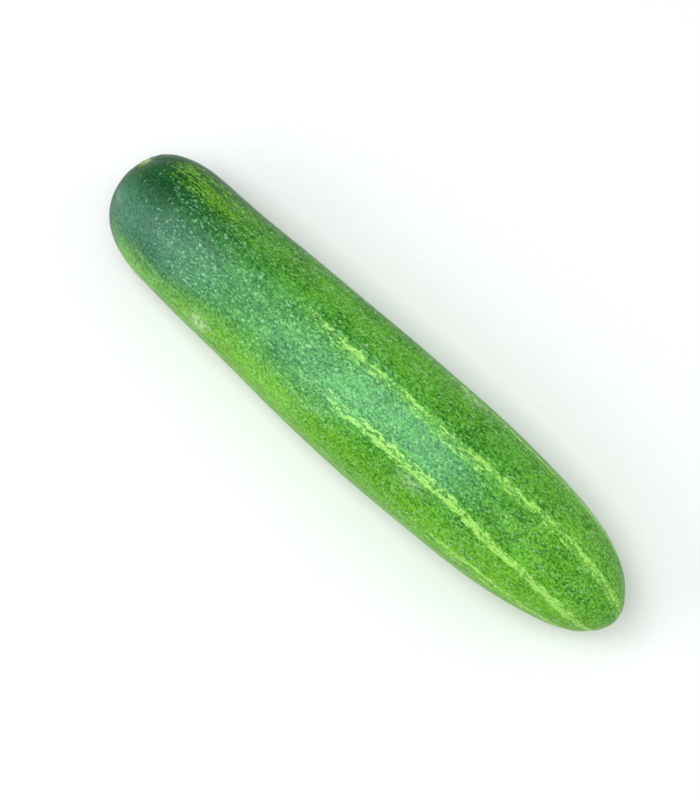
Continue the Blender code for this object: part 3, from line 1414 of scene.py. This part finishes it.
@dataclass(frozen=True)
class Studio:
    """The white floor, the lights and the camera."""

    floor_radius: float = 4.0
    floor_sides: int = 96
    world_radiance: float = 0.55
    world_colour: Colour = (0.97, 1.0, 1.0, 1.0)
    picture_size: tuple[int, int] = (700, 800)
    camera_distance: float = 0.85
    camera_azimuth: float = math.radians(41.99)
    camera_elevation: float = math.radians(80)
    pixels_per_metre: float = 3330.0
    aim: Triple = (-0.0030, -0.0041, 0.0215)
    boxes: tuple[SoftBox, ...] = (
        SoftBox(
            "overhead_softbox", (-0.10, -0.12, 0.78), (0.62, 0.36), math.radians(35), 5.0, (0.97, 1.0, 1.0)
        ),
        SoftBox("side_softbox", (-0.50, -0.62, 0.60), (0.70, 0.50), 0.0, 2.2, (0.97, 1.0, 1.0)),
        SoftBox("fill_softbox", (0.60, 0.55, 0.60), (0.60, 0.60), 0.0, 1.2, (1.0, 1.0, 0.98)),
    )

    def build(self, effects: Effects) -> None:
        """Sets up the studio round the fruit.

        Args:
            effects: The shared effects.
        """
        self.build_floor(effects)
        self.build_world()
        aim = Vector(self.aim)
        for box in self.boxes:
            box.build(aim)
        self.build_camera(aim)
        bpy.context.scene.view_settings.view_transform = "Standard"

    def build_floor(self, effects: Effects) -> None:
        """Makes the floor as one large disc.

        Args:
            effects: The shared effects.
        """
        disc = bmesh.new()
        bmesh.ops.create_circle(
            disc, cap_ends=True, segments=self.floor_sides, radius=self.floor_radius
        )
        floor = add_object("floor", disc, FloorFinish().material(effects))

    def build_world(self) -> None:
        """Makes the pale surroundings, which light the fruit softly."""
        world = bpy.data.worlds.new("studio")
        world.use_nodes = True
        bpy.context.scene.world = world
        background = world.node_tree.nodes["Background"]
        background.inputs["Color"].default_value = self.world_colour
        background.inputs["Strength"].default_value = self.world_radiance

    def build_camera(self, aim: Vector) -> None:
        """Makes the camera.

        Args:
            aim: The point in the middle of the picture.
        """
        camera = bpy.data.cameras.new("camera")
        focal_pixels = self.camera_distance * self.pixels_per_metre
        camera.lens = camera.sensor_width * focal_pixels / max(self.picture_size)
        eye = bpy.data.objects.new("camera", camera)
        turn, rise = self.camera_azimuth, self.camera_elevation
        flat = math.cos(rise)
        back = Vector((math.sin(turn) * flat, -math.cos(turn) * flat, math.sin(rise)))
        eye.location = aim + back * self.camera_distance
        eye.rotation_mode = "QUATERNION"
        eye.rotation_quaternion = (-back).to_track_quat("-Z", "Y")
        bpy.context.scene.collection.objects.link(eye)
        bpy.context.scene.camera = eye


def main() -> None:
    """Builds the fruit, its scars and the studio, in order."""
    effects = Effects()
    form = FruitForm()
    skin = Skin(form, SkinFinish(StripePaint(form.stripes, form.belly_radius)))
    skin.build(effects)
    stalk_cork = CorkFinish(
        "stalk_scar_cork", dark=(0.160, 0.200, 0.090, 1), light=(0.450, 0.570, 0.310, 1), grain=0.9
    )
    flower_crust = CorkFinish(
        "flower_scar_crust", dark=(0.100, 0.070, 0.025, 1), light=(0.340, 0.260, 0.110, 1), grain=0.6
    )
    stalk_scar = ScarPlug(
        "stalk_scar",
        form.stem_scar,
        stalk_cork,
        thickness=0.25 * MM,
        rim_height=0.40 * MM,
        dimple_depth=0.30 * MM,
        spokes=5,
    )
    flower_scar = ScarPlug(
        "flower_scar",
        form.blossom_scar,
        flower_crust,
        thickness=0.18 * MM,
        rim_height=0.15 * MM,
        dimple_depth=0.10 * MM,
        spokes=3,
    )
    stalk_scar.build(skin, effects)
    flower_scar.build(skin, effects)
    Studio().build(effects)


if __name__ == "__main__":
    main()
